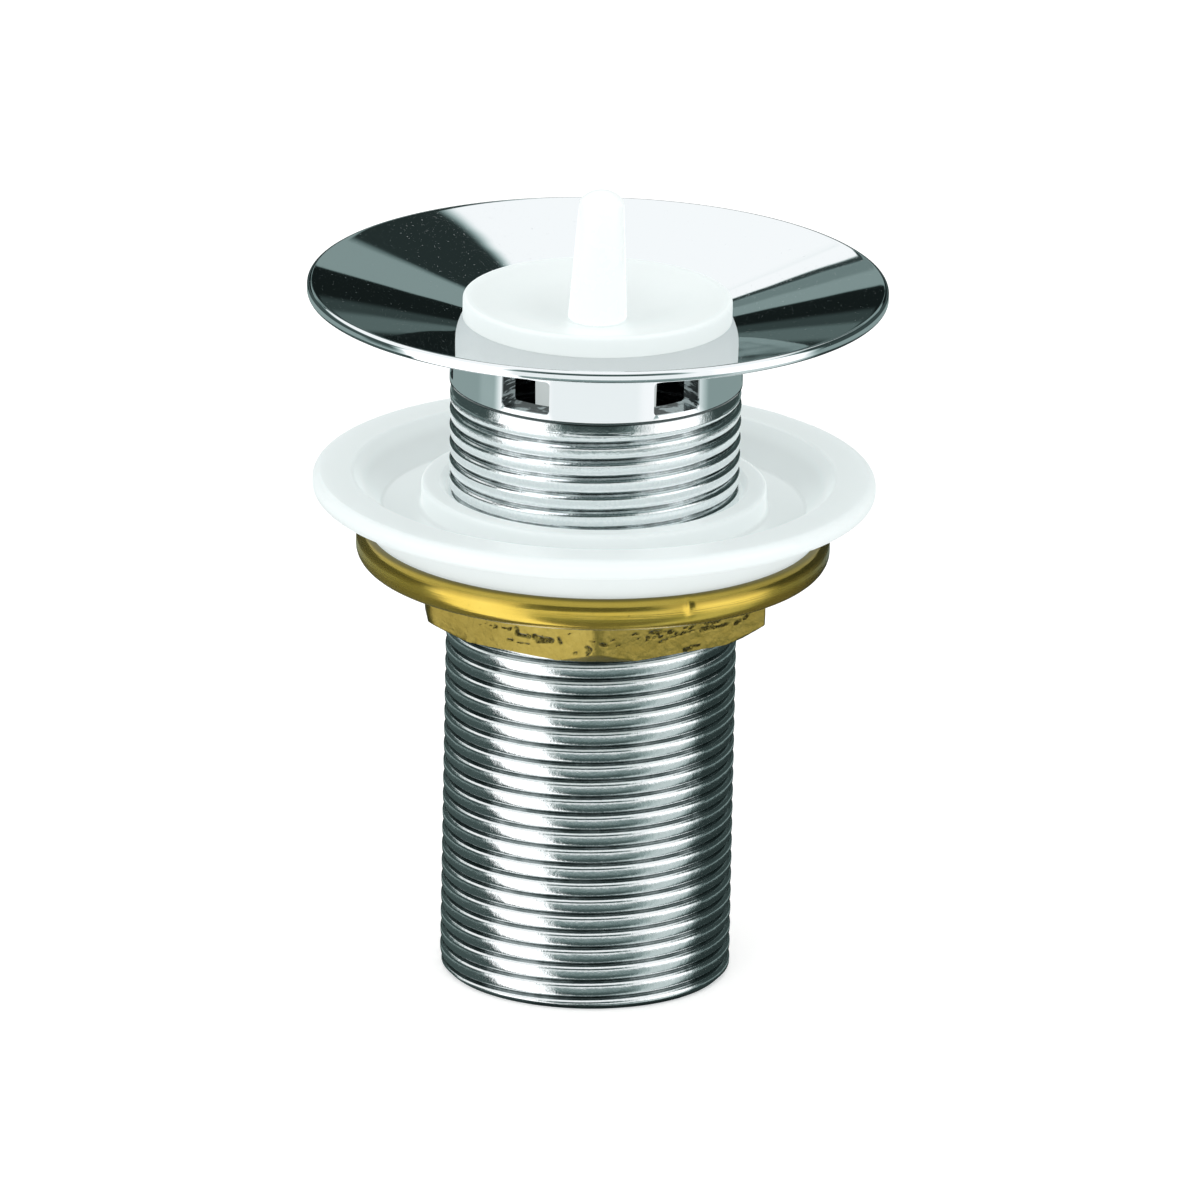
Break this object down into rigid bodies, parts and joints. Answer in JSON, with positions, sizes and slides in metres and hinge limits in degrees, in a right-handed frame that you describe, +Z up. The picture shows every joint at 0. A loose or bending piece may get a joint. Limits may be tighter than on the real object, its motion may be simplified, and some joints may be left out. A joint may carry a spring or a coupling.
{
  "type": "basin waste",
  "caption": "Slotted basin waste: coned flange on a threaded tail, lift-out plug with a finger peg, dished washer and flanged hexagon backnut.",
  "frame": {"origin": "centre of the tail's lower end face, on the surface that the part stands on", "axes": "+Z up the tail to the flange; -Y the side of the neck's front pillar, but for 2.5 degrees"},
  "size_m": [0.0834, 0.0834, 0.1171],
  "materials": {
    "chrome": "polished plate on brass",
    "brass": "raw casting, polished rim",
    "plug_plastic": "translucent white",
    "peg_plastic": "bright white",
    "washer_plastic": "translucent white"
  },
  "bodies": {
    "waste_body": {"coned_flange": "chrome", "threaded_tail": "chrome"},
    "plug": {"plug": "plug_plastic", "finger_peg": "peg_plastic"},
    "washer": {"dished_washer": "washer_plastic"},
    "nut": {"backnut": "brass"}
  },
  "joints": [
    {"name": "plug_lift", "type": "slide", "parent": "waste_body", "child": "plug", "axis": [0, 0, 1], "range_m": [0, 0.03]},
    {"name": "nut_travel", "type": "slide", "parent": "waste_body", "child": "washer", "axis": [0, 0, 1], "range_m": [-0.05433, 0.02242]},
    {"name": "nut_turn", "type": "hinge", "parent": "washer", "child": "nut", "pos_m": [0, 0, 0.05453], "axis": [0, 0, 1], "range_deg": [-7720, 3190]}
  ],
  "couplings": [
    {"joint": "nut_turn", "follows": "nut_travel", "rad_per_m": 2473.7}
  ]
}
